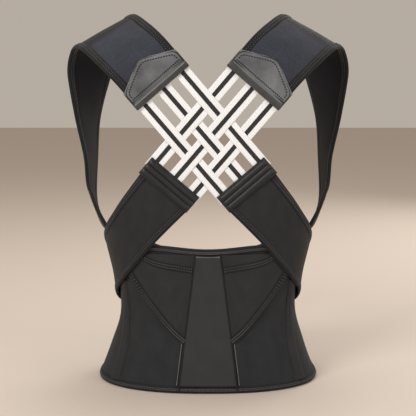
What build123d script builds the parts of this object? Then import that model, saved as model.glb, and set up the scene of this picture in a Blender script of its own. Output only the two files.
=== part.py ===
"""Back brace: a lumbar belt that closes at the front, joined to two shoulder loops by a woven lattice of elastics.

Millimetres. +Z is up, -Y is the wearer's back, +X is the wearer's right. The origin is on the ground under the
middle of the belt. Most pieces are plies on one torso form, so a ply is named by its offset from that form.
"""

import os
from math import cos, pi, radians, sin

from build123d import *

os.makedirs("parts", exist_ok=True)

# ---------------------------------------------------------------- driving dimensions
# torso form: height, half width, half depth, fullness of the superellipse
torso_levels = [
    (0, 162, 104, 2.3),
    (48, 143.5, 97, 2.3),
    (98, 129.5, 90, 2.3),
    (150, 132, 87, 2.3),
    (205, 143.5, 90, 2.4),
    (262, 151, 96, 2.9),
    (345, 155, 98, 3.4),
]
points_per_level = 20

belt_height = 204  # at the middle of the back
belt_wall = 4
ply_gap = 0.2  # sewn plies in one body
body_gap = 0.6  # between bodies that move apart
binding_ply = 1.2
binding_height = 10
cover_ply = 3  # centre panel and boning covers
flap_ply = 2
tape_ply = 0.8
stay_width, stay_ply = 12, 1

panel_top_width, panel_bottom_width = 34, 79
flap_corner = (111, 168)  # outer corner of the flap, under the lower strap
flap_foot = 72  # height where the flap's edge meets the centre panel
edge_tape = 9

band_width, band_ply, band_pitch = 20, 1.2, 33.5
band_angle = 49.3  # from the horizontal
band_lift = 0.9  # of an elastic above or below the lattice plane where it crosses
band_climb = 9  # length in which it goes over to the other side
band_hold = 2  # how far it stays level beyond half the width of the elastic that it crosses
lattice_height, lattice_plane = 357, -101
lattice_rise, lattice_drop = 92.5, 69.5  # from the middle crossing to the tab and to the casing

tab_margin = 1.5
tab_side, tab_peak, tab_depth, tab_chamfer = 27, 50, 9, 1.2
tab_peak_round = 10
tab_roll_reach, tab_roll_rise = 5, 1  # the fold along the tab's foot: its middle's height and its swell
casing_length, casing_depth, casing_corner, rib_radius = 23.5, 9, 2.5, 2.4
tuck = 12  # how far an elastic or a strap runs inside its tab or casing

strap_ply = 3.2  # lower strap
strap_offset = 3.8  # of its inner face from the torso form
strap_edge = 8  # width of its edge binding
side_strap_top, side_strap_bottom = 203, 134  # where it passes the wearer's side
front_strap_height, front_strap_width = 96, 50
front_strap_settle = 2.1  # how much closer it lies to the wing at the front
hook_ply, hook_margin = 1, 4  # hook pad under each tab
patch_ply, patch_margin, patch_corner = 0.8, 14, 6  # the pads that hold the two wings' overlap
tab_root, tab_end = 104, 50  # the hook tab's two ends, from the middle

shoulder_ply, shoulder_edge, shoulder_binding_ply = 4.4, 8.5, 5.2
loop_split = 392  # height where the padded part of a loop gives way to its stretch part

hinge_y = 12  # the belt bends here to open
wing_overlap = 42
wing_front_height = 150
wing_corner = 14
outer_wing_step = 7  # how far the outer wing stands off the form at the front, to lap the inner one

reach = 260  # longer than the object is deep, for cutting tools


# ---------------------------------------------------------------- the torso form and its plies
def level_points(half_width, half_depth, fullness, front_step):
    """Points round one superellipse, whose front half is deeper by front_step."""
    points = []
    for i in range(points_per_level):
        turn = 2 * pi * i / points_per_level
        across, along = cos(turn), sin(turn)
        depth = half_depth + (front_step if along > 0 else 0)
        x = half_width * abs(across) ** (2 / fullness)
        y = depth * abs(along) ** (2 / fullness)
        points.append((x if across > 0 else -x, y if along > 0 else -y))
    return points


forms = {}


def torso(offset, front_step=0):
    """The solid inside a ply whose face is offset from the torso form."""
    key = (round(offset, 3), round(front_step, 3))
    if key not in forms:
        with BuildPart() as form:
            for height, half_width, half_depth, fullness in torso_levels:
                with BuildSketch(Plane.XY.offset(height)):
                    with BuildLine():
                        Spline(
                            *level_points(half_width + offset, half_depth + offset, fullness, front_step),
                            periodic=True,
                        )
                    make_face()
            loft()
        forms[key] = form.part
    return forms[key]


plies = {}


def ply(inner, outer, front_step=0):
    """The shell between two offsets."""
    key = (round(inner, 3), round(outer, 3), round(front_step, 3))
    if key not in plies:
        with BuildPart(mode=Mode.PRIVATE) as shell:
            add(torso(outer, front_step))
            add(torso(inner, front_step), mode=Mode.SUBTRACT)
        plies[key] = shell.part
    return plies[key]


def back_slab(face):
    """A face of the XZ plane as a prism, from the hinge line back past the wearer's back."""
    with BuildPart(mode=Mode.PRIVATE) as slab:
        extrude(face.moved(Location((0, hinge_y - body_gap / 2, 0))), amount=reach)
    return slab.part


def front_slab(face):
    """A face of the XZ plane as a prism, from the hinge line forward past the wearer's front."""
    with BuildPart(mode=Mode.PRIVATE) as slab:
        extrude(face.moved(Location((0, hinge_y + body_gap / 2, 0))), amount=-reach)
    return slab.part


def diagonal_slab(face, front=False):
    """A face of a diagonal plane as a prism, out through the wearer's right flank and cut at the hinge line."""
    toward = 1 if front else -1
    with BuildPart(mode=Mode.PRIVATE) as slab:
        extrude(face, amount=reach)
        with Locations((0, hinge_y - toward * (reach - body_gap / 2), 0)):
            Box(4 * reach, 2 * reach, 4 * reach, mode=Mode.SUBTRACT)
    return slab.part


def write(part, label):
    part.label = label
    export_step(part, f"parts/{label}.step")


def write_both(part, label):
    """Writes the right-hand piece and its mirror image."""
    with BuildPart(mode=Mode.PRIVATE) as left:
        mirror(part, about=Plane.YZ)
    write(part, label + "_right")
    write(left.part, label + "_left")


# ---------------------------------------------------------------- belt: wall and bindings
side_top = belt_height - 6
top_points = [(-175, side_top), (-80, belt_height + 4.8), (0, belt_height), (80, belt_height + 4.8), (175, side_top)]


with BuildPart() as belt_back:
    add(ply(-belt_wall, 0))
    wall_inset = binding_height + ply_gap
    with BuildSketch(Plane.XZ, mode=Mode.PRIVATE) as wall_outline:
        with BuildLine():
            wall_top = Spline(*[(x, z - wall_inset) for x, z in top_points])
            Polyline(wall_top @ 1, (175, wall_inset), (-175, wall_inset), wall_top @ 0)
        make_face()
    add(back_slab(wall_outline.sketch.face()), mode=Mode.INTERSECT)
write(belt_back.part, "belt_back")

# each binding is a tape folded round the wall's foam edge, so it is thicker than the wall on both faces
with BuildPart() as bottom_binding:
    add(ply(-belt_wall - binding_ply, binding_ply))
    with BuildSketch(Plane.XZ, mode=Mode.PRIVATE) as low_band:
        with Locations((0, binding_height / 2)):
            Rectangle(2 * reach, binding_height)
    add(back_slab(low_band.sketch.face()), mode=Mode.INTERSECT)
write(bottom_binding.part, "bottom_binding")

with BuildPart() as top_binding:
    add(ply(-belt_wall - binding_ply, binding_ply))
    with BuildSketch(Plane.XZ, mode=Mode.PRIVATE) as high_band:
        with BuildLine():
            high_edge = Spline(*top_points)
            low_edge = Spline(*[(x, z - binding_height) for x, z in top_points])
            Line(high_edge @ 0, low_edge @ 0)
            Line(high_edge @ 1, low_edge @ 1)
        make_face()
    add(back_slab(high_band.sketch.face()), mode=Mode.INTERSECT)
write(top_binding.part, "top_binding")


# ---------------------------------------------------------------- belt: centre panel and stays
panel_bottom = binding_height + 1
panel_top = belt_height - binding_height - 1


def panel_half_width(height):
    """Half the centre panel's width at a height."""
    share = (height - panel_bottom) / (panel_top - panel_bottom)
    return (panel_bottom_width + (panel_top_width - panel_bottom_width) * share) / 2


with BuildSketch(Plane.XZ) as panel_outline:
    with BuildLine():
        Polyline(
            (-panel_half_width(panel_bottom), panel_bottom),
            (panel_half_width(panel_bottom), panel_bottom),
            (panel_half_width(panel_top), panel_top),
            (-panel_half_width(panel_top), panel_top),
            close=True,
        )
    make_face()


def centre_stay_outline(growth):
    """A spring stay that lies just inside the centre panel's slanted edge."""
    low, high = panel_bottom + 8 - growth, panel_top - 8 + growth
    inner_inset, outer_inset = stay_width + 3 + growth, 3 - growth
    with BuildSketch(Plane.XZ, mode=Mode.PRIVATE) as outline:
        with BuildLine():
            Polyline(
                (panel_half_width(low) - inner_inset, low),
                (panel_half_width(low) - outer_inset, low),
                (panel_half_width(high) - outer_inset, high),
                (panel_half_width(high) - inner_inset, high),
                close=True,
            )
        make_face()
    return outline.sketch.face()


with BuildPart() as centre_stay:
    add(ply(ply_gap, ply_gap + stay_ply))
    add(back_slab(centre_stay_outline(0)), mode=Mode.INTERSECT)
write_both(centre_stay.part, "centre_stay")

with BuildPart() as centre_pocket:
    add(ply(0, 2 * ply_gap + stay_ply))
    add(back_slab(centre_stay_outline(ply_gap)), mode=Mode.INTERSECT)
    mirror(about=Plane.YZ)

with BuildPart() as centre_panel:
    add(ply(ply_gap, cover_ply))
    add(back_slab(panel_outline.sketch.face()), mode=Mode.INTERSECT)
    add(centre_pocket.part, mode=Mode.SUBTRACT)
write(centre_panel.part, "centre_panel")


# ---------------------------------------------------------------- belt: side boning
boning_points = [(133, panel_bottom), (120, 70), (117, 110), (121, 150)]


def boning_outline(width, end_gap):
    """A strip along the line of the side boning, which follows the waist."""
    with BuildSketch(Plane.XZ, mode=Mode.PRIVATE) as outline:
        with BuildLine():
            inner = Spline(*[(x - width / 2, z) for x, z in boning_points])
            outer = Spline(*[(x + width / 2, z) for x, z in boning_points])
            Line(inner @ 0, outer @ 0)
            Line(inner @ 1, outer @ 1)
        make_face()
        with Locations((0, panel_bottom + end_gap - reach / 2), (0, boning_points[-1][1] - end_gap + reach / 2)):
            Rectangle(2 * reach, reach, mode=Mode.SUBTRACT)
    return outline.sketch.face()


with BuildPart() as side_stay:
    add(ply(ply_gap, ply_gap + stay_ply))
    add(back_slab(boning_outline(stay_width / 2, 6)), mode=Mode.INTERSECT)
write_both(side_stay.part, "side_stay")

with BuildPart() as side_cover:
    add(ply(ply_gap, cover_ply))
    add(back_slab(boning_outline(stay_width, 0)), mode=Mode.INTERSECT)
    with BuildPart(mode=Mode.PRIVATE) as side_pocket:
        add(ply(0, 2 * ply_gap + stay_ply))
        add(back_slab(boning_outline(stay_width / 2 + 2 * ply_gap, 5)), mode=Mode.INTERSECT)
    add(side_pocket.part, mode=Mode.SUBTRACT)
write_both(side_cover.part, "side_boning_cover")


# ---------------------------------------------------------------- belt: flaps, their edge tape and seam tape
def flap_outline(edge_inset):
    """The three-cornered flap beside the centre panel, less a margin along its hanging edge."""
    foot = (panel_half_width(flap_foot) + ply_gap, flap_foot)
    head = (panel_half_width(panel_top) + ply_gap, panel_top)
    shoulder_x = flap_corner[0] - 6
    with BuildSketch(Plane.XZ, mode=Mode.PRIVATE) as outline:
        with BuildLine():
            Line(foot, head)
            top = Spline(head, (60, panel_top + 2.4), (shoulder_x, panel_top + 2))
            side = Line(top @ 1, flap_corner)
            ThreePointArc(side @ 1, (76, 106), foot)
        make_face()
        if edge_inset:
            with BuildSketch(mode=Mode.SUBTRACT):
                with BuildLine():
                    hem = ThreePointArc(flap_corner, (76, 106), foot)
                    Polyline(hem @ 1, (foot[0] - 12, foot[1] - 30), (flap_corner[0] + 40, 20), flap_corner)
                make_face()
                offset(amount=edge_inset)
    return outline.sketch.face()


flap_body_outline = flap_outline(edge_tape + ply_gap)
with BuildPart() as flap:
    add(ply(ply_gap, flap_ply + ply_gap))
    add(back_slab(flap_body_outline), mode=Mode.INTERSECT)
write_both(flap.part, "flap")

with BuildSketch(Plane.XZ) as flap_edge_outline:
    add(flap_outline(0))
    add(flap_outline(edge_tape), mode=Mode.SUBTRACT)
with BuildPart() as flap_edge:
    add(ply(ply_gap, flap_ply + tape_ply + ply_gap))
    add(back_slab(flap_edge_outline.sketch.faces().sort_by(Axis.X)[-1]), mode=Mode.INTERSECT)
write_both(flap_edge.part, "flap_edge_tape")

with BuildSketch(Plane.XZ) as seam_outline:
    with BuildLine():
        low_seam = Spline((panel_half_width(168) + 4, 168), (60, 176), (92, 189))
        high_seam = Spline((panel_half_width(176) + 4, 176.5), (58, 184), (86, 194))
        Line(low_seam @ 0, high_seam @ 0)
        Line(low_seam @ 1, high_seam @ 1)
    make_face()
with BuildPart() as seam_tape:
    add(ply(flap_ply + 2 * ply_gap, flap_ply + tape_ply + 2 * ply_gap))
    add(back_slab(seam_outline.sketch.face()), mode=Mode.INTERSECT)
write_both(seam_tape.part, "flap_seam_tape")


# ---------------------------------------------------------------- lattice of woven elastics
tab_width = 2 * band_pitch + band_width + 2 * tab_margin
run_x, run_z = cos(radians(band_angle)), sin(radians(band_angle))
climb_share = (run_z**2 - run_x**2, 2 * run_x * run_z)  # of the two directions on each other


def band_plane(side, row):
    """Plane of an elastic's long section: X runs down it. Y is to the front, or the back on a down-left one."""
    normal = Vector(side * run_z, 0, run_x)
    middle = Vector(0, lattice_plane, lattice_height) + normal * (row * band_pitch)
    return Plane(origin=middle, x_dir=Vector(side * run_x, 0, -run_z), z_dir=normal)


def band_profile(row):
    """Points down the middle of an elastic as it passes over and under the three that cross it."""
    hold = band_width / 2 + band_hold
    profile = [(-lattice_rise - tuck, 0)]
    for crossed in (1, 0, -1):
        other = crossed * band_pitch
        crossing = -(climb_share[0] * row * band_pitch + other) / climb_share[1]
        level = -band_lift if (row + crossed) % 2 == 0 else band_lift
        if len(profile) == 1:
            profile.append((crossing - hold - band_climb, 0))
        profile += [(crossing - hold, level), (crossing + hold, level)]
    profile.append((profile[-1][0] + band_climb, 0))
    profile.append((lattice_drop + tuck, 0))
    return profile


def band(side, row, growth=0):
    """One elastic. growth widens it all round, for the slot that it enters."""
    line = band_profile(row)
    half = band_ply / 2 + growth
    with BuildPart(mode=Mode.PRIVATE) as strip:
        with BuildSketch(band_plane(side, row)):
            with BuildLine():
                Polyline(*[(s, y - half) for s, y in line], *[(s, y + half) for s, y in reversed(line)], close=True)
            make_face()
        extrude(amount=band_width / 2 + growth, both=True)
    return strip.part


for side, run in ((1, "down_right"), (-1, "down_left")):
    for row, place in ((1, "upper"), (0, "middle"), (-1, "lower")):
        write(band(side, row), f"elastic_{run}_{place}")

with BuildPart() as band_slots:
    for side in (1, -1):
        for row in (1, 0, -1):
            add(band(side, row, growth=ply_gap))


# ---------------------------------------------------------------- shoulder loop: path
def arm_point(up, across, depth=0):
    """A point of the right arm of the lattice: up along it, across it outwards, and in depth."""
    return Vector(run_x * up + run_z * across, lattice_plane + depth, lattice_height + run_z * up - run_x * across)


def arm_plane(up, depth=0):
    """Plane of the right upper arm at a distance up it: X is outwards across it, and Y is up it."""
    return Plane(origin=arm_point(up, 0, depth), x_dir=Vector(run_z, 0, -run_x), z_dir=Vector(0, -1, 0))


strap_width = tab_width - 4
strap_start = lattice_rise + tuck + 2
arm_across = Vector(run_z, 0, -run_x)
# centre, direction across towards the arm, and width of the strap at stations round the loop
loop_stations = [
    (arm_point(strap_start, 0), arm_across, strap_width),
    (arm_point(lattice_rise + tab_peak, 0), arm_across, strap_width),
    (arm_point(lattice_rise + tab_peak + 8, 0, 1.5), arm_across, strap_width),
    (Vector(116, -80, 484), Vector(0.76, -0.16, -0.63), strap_width),
    (Vector(139, -42, 504), Vector(0.82, -0.16, -0.55), strap_width),
    (Vector(154, 0, 506), Vector(0.86, -0.2, -0.47), strap_width),
    (Vector(167, 36, 489), Vector(0.81, -0.5, -0.3), strap_width),
    (Vector(178, 60, 446), Vector(0.68, -0.73, 0.05), strap_width),
    (Vector(183, 67, 380), Vector(0.37, -0.93, 0.04), strap_width),
    (Vector(180, 62, 318), Vector(0.14, -0.98, 0.12), strap_width - 4),
    (Vector(176, 48, 272), Vector(0.05, -0.93, 0.35), strap_width - 14),
    (Vector(168, 28, 249), Vector(0.02, -0.9, 0.43), strap_width - 22),
    (Vector(157, 12, 230), Vector(0, -0.92, 0.38), strap_width - 30),
    (Vector(143.6, 4, 213), Vector(-0.02, -0.97, 0.2), strap_width - 36),
]
steps_per_span = 3


def curve_through(a, b, c, d, share):
    """Catmull-Rom interpolation between b and c, for vectors or numbers."""
    return (
        b * 2 + (c - a) * share + (a * 2 - b * 5 + c * 4 - d) * share**2 + (b * 3 - a - c * 3 + d) * share**3
    ) * 0.5


def loop_frames():
    """Centre, direction of travel, direction across and width, evenly spread round the loop."""
    last = len(loop_stations) - 1
    rows = []
    for span in range(last):
        for step in range(steps_per_span):
            share = step / steps_per_span
            near = [loop_stations[min(max(span + k, 0), last)] for k in (-1, 0, 1, 2)]
            rows.append([curve_through(*[row[k] for row in near], share) for k in range(3)])
    rows.append(list(loop_stations[last]))
    frames = []
    for i, (centre, across, width) in enumerate(rows):
        travel = (rows[min(i + 1, len(rows) - 1)][0] - rows[max(i - 1, 0)][0]).normalized()
        square = (across - travel * across.dot(travel)).normalized()
        frames.append((centre, travel, square, width))
    return frames


def ribbon(edge_from, edge_to, thickness):
    """A strip of the loop between two distances in from its edges, negative from the inner edge."""
    with BuildPart(mode=Mode.PRIVATE) as strip:
        for centre, travel, across, width in loop_frames():
            low = edge_from if edge_from >= 0 else width + edge_from
            high = width - edge_to if edge_to >= 0 else -edge_to
            middle = centre + across * ((low + high) / 2 - width / 2)
            with BuildSketch(Plane(origin=middle, x_dir=across, z_dir=travel)):
                Rectangle(high - low, thickness)
        loft(ruled=True)
    return strip.part


loop_body = ribbon(shoulder_edge + ply_gap, shoulder_edge + ply_gap, shoulder_ply)
loop_edge_inner = ribbon(0, -shoulder_edge, shoulder_binding_ply)
loop_edge_outer = ribbon(-shoulder_edge, 0, shoulder_binding_ply)

# the stretch part is the front of the loop, below the split
with BuildPart() as stretch_zone:
    with Locations((150, reach / 2 - 50, loop_split - reach / 2)):
        Box(reach / 2, reach, reach)
with BuildPart() as padded_zone:
    with Locations((reach / 2, 0, loop_split + reach / 2 + ply_gap)):
        Box(reach, 2 * reach, reach)

with BuildPart() as shoulder_pad:
    add(loop_body)
    add(padded_zone.part, mode=Mode.INTERSECT)
write_both(shoulder_pad.part, "shoulder_pad")

with BuildPart() as shoulder_edges:
    add(loop_edge_inner)
    add(loop_edge_outer)
    add(padded_zone.part, mode=Mode.INTERSECT)
write_both(shoulder_edges.part, "shoulder_binding")

with BuildPart() as underarm_strap:
    add(loop_body)
    add(stretch_zone.part, mode=Mode.INTERSECT)
write_both(underarm_strap.part, "underarm_strap")

with BuildPart() as underarm_edges:
    add(loop_edge_inner)
    add(loop_edge_outer)
    add(stretch_zone.part, mode=Mode.INTERSECT)
write_both(underarm_edges.part, "underarm_binding")


# ---------------------------------------------------------------- upper tab: folded leather over strap and elastics
with BuildPart() as upper_tab:
    with BuildSketch(arm_plane(lattice_rise, tab_depth / 2)):
        with BuildLine():
            Polyline(
                (-tab_width / 2, 0),
                (tab_width / 2, 0),
                (tab_width / 2 - 1, tab_side),
                (0, tab_peak),
                (-tab_width / 2 + 1, tab_side),
                close=True,
            )
        make_face()
        fillet(vertices().sort_by(Axis.Y)[-1], tab_peak_round)
    extrude(amount=tab_depth)
    chamfer(faces().sort_by(Axis.Y)[0].edges(), tab_chamfer)
    roll_middle = arm_point(lattice_rise + tab_roll_reach, 0)
    with BuildSketch(Plane(origin=roll_middle, x_dir=Vector(0, 1, 0), z_dir=arm_across)):
        Ellipse(tab_depth / 2 + tab_roll_rise, tab_roll_reach - 0.5)
    extrude(amount=tab_width / 2, both=True)
    add(band_slots.part, mode=Mode.SUBTRACT)
    with BuildSketch(Plane(origin=arm_point(strap_start - ply_gap, 0), x_dir=arm_across, z_dir=Vector(run_x, 0, run_z))):
        Rectangle(strap_width + 2 * ply_gap, shoulder_binding_ply + 2 * ply_gap)
    extrude(amount=tab_peak, mode=Mode.SUBTRACT)
write_both(upper_tab.part, "upper_tab")


# ---------------------------------------------------------------- lower casing and lower strap
def foot_point(down, across):
    """A point of the right lower arm of the lattice: down along it, and across it outwards."""
    return Vector(run_x * down + run_z * across, lattice_plane, lattice_height - run_z * down + run_x * across)


casing_width = tab_width - 3
foot_across = Vector(run_z, 0, run_x)
casing_end = lattice_drop + casing_length
strap_outer = foot_point(casing_end - tuck + 3, casing_width / 2 - 3)
strap_inner = foot_point(casing_end - tuck + 3, -casing_width / 2 + 3)


flank_view = Plane(origin=(0, 0, 0), x_dir=(1, 1, 0), z_dir=(1, -1, 0))


def place_on_flank(point):
    """Where a point in space is seen on the flank view."""
    place = flank_view.to_local_coords(Vector(*point))
    return Vector(place.X, place.Y)


def flank_spline(points, drop):
    """A smooth line on the flank view through points in space, each moved down and inwards by drop."""
    return Spline(*[place_on_flank(point) - Vector(drop * edge_lean, drop) for point in points])


strap_upper_line = [
    tuple(strap_outer),
    (116, -84, 276),
    (142.5, -34, 235),
    (150, 0, side_strap_top + 4),
    (150, 24, side_strap_top - 12),
]
strap_lower_line = [
    tuple(strap_inner),
    (78.3, -84, 210),
    (106.3, -67, 176),
    (135, 0, side_strap_bottom),
    (136, 24, side_strap_bottom - 10),
]

slant = 1.2  # the strap's edges slope, so a margin square to them is longer when it is measured straight down
edge_lean = 0.39  # how far a margin goes inwards for each millimetre that it goes down
strap_start_gap = 0.4  # from the blind end of the casing's slot


def strap_outline(upper_line, upper_inset, lower_line, lower_inset, slot=False):
    """The part of the lower strap, on the flank view, between two lines moved in by their margins.

    It is cut back a little from the blind end of its casing's slot, unless it is the slot itself.
    """
    with BuildSketch(flank_view, mode=Mode.PRIVATE) as outline:
        with BuildLine():
            upper = flank_spline(upper_line, upper_inset * slant)
            lower = flank_spline(lower_line, lower_inset * slant)
            Line(upper @ 0, lower @ 0)
            Line(upper @ 1, lower @ 1)
        make_face()
        if not slot:
            start_line = (place_on_flank(strap_outer) - place_on_flank(strap_inner)).normalized()
            away = Vector(-start_line.Y, start_line.X)
            cut_middle = place_on_flank(strap_inner) - away * strap_start_gap
            with BuildLine():
                Polyline(
                    cut_middle - start_line * reach,
                    cut_middle + start_line * reach,
                    cut_middle + (start_line + away) * reach,
                    cut_middle + (away - start_line) * reach,
                    close=True,
                )
            make_face(mode=Mode.SUBTRACT)
    return outline.sketch.face()


strap_inner_face, strap_outer_face = strap_offset, strap_offset + strap_ply

with BuildPart() as lower_strap:
    add(ply(strap_inner_face, strap_outer_face))
    strap_margin = strap_edge + ply_gap
    body_outline = strap_outline(strap_upper_line, strap_margin, strap_lower_line, -strap_margin)
    add(diagonal_slab(body_outline), mode=Mode.INTERSECT)
write_both(lower_strap.part, "lower_strap")

with BuildPart() as upper_edge:
    add(ply(strap_inner_face, strap_outer_face + tape_ply))
    add(diagonal_slab(strap_outline(strap_upper_line, 0, strap_upper_line, strap_edge)), mode=Mode.INTERSECT)
with BuildPart() as lower_edge:
    add(ply(strap_inner_face, strap_outer_face + tape_ply))
    add(diagonal_slab(strap_outline(strap_lower_line, -strap_edge, strap_lower_line, 0)), mode=Mode.INTERSECT)
with BuildPart() as lower_edges:
    add(upper_edge.part)
    add(lower_edge.part)
write_both(lower_edges.part, "lower_strap_binding")

with BuildPart() as lower_casing:
    casing_front = foot_point(lattice_drop, 0) + Vector(0, casing_depth / 2, 0)
    with BuildSketch(Plane(origin=casing_front, x_dir=foot_across, z_dir=Vector(0, -1, 0))):
        with Locations((0, -casing_length / 2)):
            RectangleRounded(casing_width, casing_length, casing_corner)
    extrude(amount=casing_depth)
    for rib in range(3):
        rib_middle = foot_point(lattice_drop + casing_length * (rib + 0.5) / 3, 0) + Vector(0, -casing_depth / 2, 0)
        with BuildSketch(Plane(origin=rib_middle, x_dir=Vector(0, 1, 0), z_dir=foot_across)):
            Circle(rib_radius)
        extrude(amount=casing_width / 2 - 2, both=True)
    add(band_slots.part, mode=Mode.SUBTRACT)
    with BuildPart(mode=Mode.PRIVATE) as strap_slot:
        add(ply(strap_inner_face - ply_gap, strap_outer_face + tape_ply + ply_gap))
        slot_outline = strap_outline(strap_upper_line, -ply_gap, strap_lower_line, ply_gap, slot=True)
        add(diagonal_slab(slot_outline), mode=Mode.INTERSECT)
    add(strap_slot.part, mode=Mode.SUBTRACT)
write_both(lower_casing.part, "lower_casing")


# ---------------------------------------------------------------- front wings
def wing_outline(inset):
    """A front wing seen from the front, from the wearer's right side to its rounded end past the middle."""
    stop, top = inset - wing_overlap, wing_front_height - inset
    with BuildSketch(Plane.XZ, mode=Mode.PRIVATE) as outline:
        with BuildLine():
            edge = Spline((stop, top), (20, top), (120, 182 - inset), (175, side_top - inset))
            Polyline(edge @ 1, (175, inset), (stop, inset), edge @ 0)
        make_face()
        fillet(outline.vertices().group_by(Axis.X)[0], wing_corner - inset / 2)
    return outline.sketch.face()


def wing_pieces(step):
    """Wall and bindings of a wing that stands off the torso form by step at the front."""
    with BuildPart() as wall:
        add(ply(-belt_wall, 0, step))
        add(front_slab(wing_outline(binding_height + ply_gap)), mode=Mode.INTERSECT)
    with BuildPart() as bindings:
        add(ply(-belt_wall - binding_ply, binding_ply, step))
        add(front_slab(wing_outline(0)), mode=Mode.INTERSECT)
        add(front_slab(wing_outline(binding_height)), mode=Mode.SUBTRACT)
    return wall.part, bindings.part


def front_strap_outline(inner_end, outer_end, inset=0):
    """The front run of the lower strap, between two distances from the middle."""
    half = front_strap_width / 2 - inset
    with BuildSketch(Plane.XZ, mode=Mode.PRIVATE) as outline:
        with BuildLine():
            upper = Spline(
                (158, side_strap_top - inset),
                (142, 178 - inset),
                (110, front_strap_height + 34 + half),
                (40, front_strap_height + half),
                tangents=((-0.4, -1), (-1, -0.1)),
            )
            lower = Spline(
                (158, side_strap_bottom - 5 + inset),
                (138, 120 + inset),
                (106, front_strap_height + 16 - half),
                (40, front_strap_height - half),
                tangents=((-0.8, -0.5), (-1, -0.1)),
            )
            Line(upper @ 0, lower @ 0)
            Line(upper @ 1, lower @ 1)
        make_face()
        with Locations((inner_end - reach / 2, reach / 2), (outer_end + reach / 2, reach / 2)):
            Rectangle(reach, 2 * reach, mode=Mode.SUBTRACT)
    return outline.sketch.face()


def front_strap_pieces(step):
    """Pull strap, hook tab and hook pad of a wing with that step, for the wearer's right."""
    settled = step - front_strap_settle
    strap_shell = ply(strap_inner_face, strap_outer_face, settled)
    with BuildPart() as pull:
        add(strap_shell)
        add(front_slab(front_strap_outline(tab_root, reach)), mode=Mode.INTERSECT)
    with BuildPart() as tab:
        add(strap_shell)
        add(front_slab(front_strap_outline(tab_end, tab_root - body_gap)), mode=Mode.INTERSECT)
    with BuildPart() as hook:
        add(ply(strap_inner_face - ply_gap - hook_ply, strap_inner_face - ply_gap, settled))
        pad_outline = front_strap_outline(tab_end + hook_margin, tab_root - 1.5 * hook_margin, inset=hook_margin)
        add(front_slab(pad_outline), mode=Mode.INTERSECT)
    return pull.part, tab.part, hook.part


outer_wall, outer_bindings = wing_pieces(outer_wing_step)
write(outer_wall, "outer_wing")
write(outer_bindings, "outer_wing_binding")

inner_wall, inner_bindings = wing_pieces(0)
with BuildPart() as inner_wing:
    mirror(inner_wall, about=Plane.YZ)
write(inner_wing.part, "inner_wing")
with BuildPart() as inner_wing_bindings:
    mirror(inner_bindings, about=Plane.YZ)
write(inner_wing_bindings.part, "inner_wing_binding")

right_pull, right_tab, right_hook = front_strap_pieces(outer_wing_step)
write(right_pull, "pull_strap_right")
write(right_tab, "pull_tab_right")
write(right_hook, "pull_tab_hook_right")

left_pieces = zip(front_strap_pieces(0), ("pull_strap_left", "pull_tab_left", "pull_tab_hook_left"))
for piece, label in left_pieces:
    with BuildPart() as left_piece:
        mirror(piece, about=Plane.YZ)
    write(left_piece.part, label)

with BuildSketch(Plane.XZ) as patch_outline:
    with Locations((0, wing_front_height / 2)):
        patch_height = wing_front_height - 2 * (binding_height + hook_margin)
        RectangleRounded(2 * (wing_overlap - patch_margin), patch_height, patch_corner)
with BuildPart() as hook_patch:
    add(ply(0, patch_ply, outer_wing_step - belt_wall - ply_gap - patch_ply))
    add(front_slab(patch_outline.sketch.face()), mode=Mode.INTERSECT)
write(hook_patch.part, "hook_patch")
with BuildPart() as loop_patch:
    add(ply(ply_gap, ply_gap + patch_ply))
    add(front_slab(patch_outline.sketch.face()), mode=Mode.INTERSECT)
write(loop_patch.part, "loop_patch")
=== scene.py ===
from math import atan2, cos, degrees, pi, radians, sin

import bmesh
import bpy
from mathutils import Matrix, Vector


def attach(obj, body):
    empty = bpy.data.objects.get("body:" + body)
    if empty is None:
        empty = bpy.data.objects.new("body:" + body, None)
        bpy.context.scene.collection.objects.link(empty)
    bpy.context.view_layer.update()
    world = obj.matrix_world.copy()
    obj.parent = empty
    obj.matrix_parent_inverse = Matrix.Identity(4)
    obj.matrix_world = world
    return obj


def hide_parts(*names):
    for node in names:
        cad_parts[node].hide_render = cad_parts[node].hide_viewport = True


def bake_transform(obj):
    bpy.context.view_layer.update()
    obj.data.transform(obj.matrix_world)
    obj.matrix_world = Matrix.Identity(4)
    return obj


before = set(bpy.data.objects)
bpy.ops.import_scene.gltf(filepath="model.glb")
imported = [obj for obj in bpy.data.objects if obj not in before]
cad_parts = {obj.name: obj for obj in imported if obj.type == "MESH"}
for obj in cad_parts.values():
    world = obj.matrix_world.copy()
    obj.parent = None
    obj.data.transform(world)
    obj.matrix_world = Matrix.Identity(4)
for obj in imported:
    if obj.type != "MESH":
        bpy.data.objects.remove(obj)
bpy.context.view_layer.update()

# ---------------------------------------------------------------- camera, light and floor
# A level view of the wearer's back from a little above the belt, in a soft studio light from the upper left.
camera_data = bpy.data.cameras.new("camera")
camera_data.sensor_width = 36
camera_data.lens = 88.3
camera = bpy.data.objects.new("camera", camera_data)
bpy.context.scene.collection.objects.link(camera)
camera_aim = Vector((0, 0, 0.2495))
camera.location = camera_aim + 1.5 * Vector((0, -cos(radians(8)), sin(radians(8))))
camera.rotation_euler = (camera_aim - camera.location).to_track_quat("-Z", "Y").to_euler()
bpy.context.scene.camera = camera


def soft_light(name, place, size, power, colour):
    """A large square lamp that faces the middle of the brace."""
    data = bpy.data.lights.new(name, "AREA")
    data.size = size
    data.energy = power
    data.color = colour
    lamp = bpy.data.objects.new(name, data)
    bpy.context.scene.collection.objects.link(lamp)
    lamp.location = place
    lamp.rotation_euler = (Vector((0, 0, 0.26)) - lamp.location).to_track_quat("-Z", "Y").to_euler()


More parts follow.
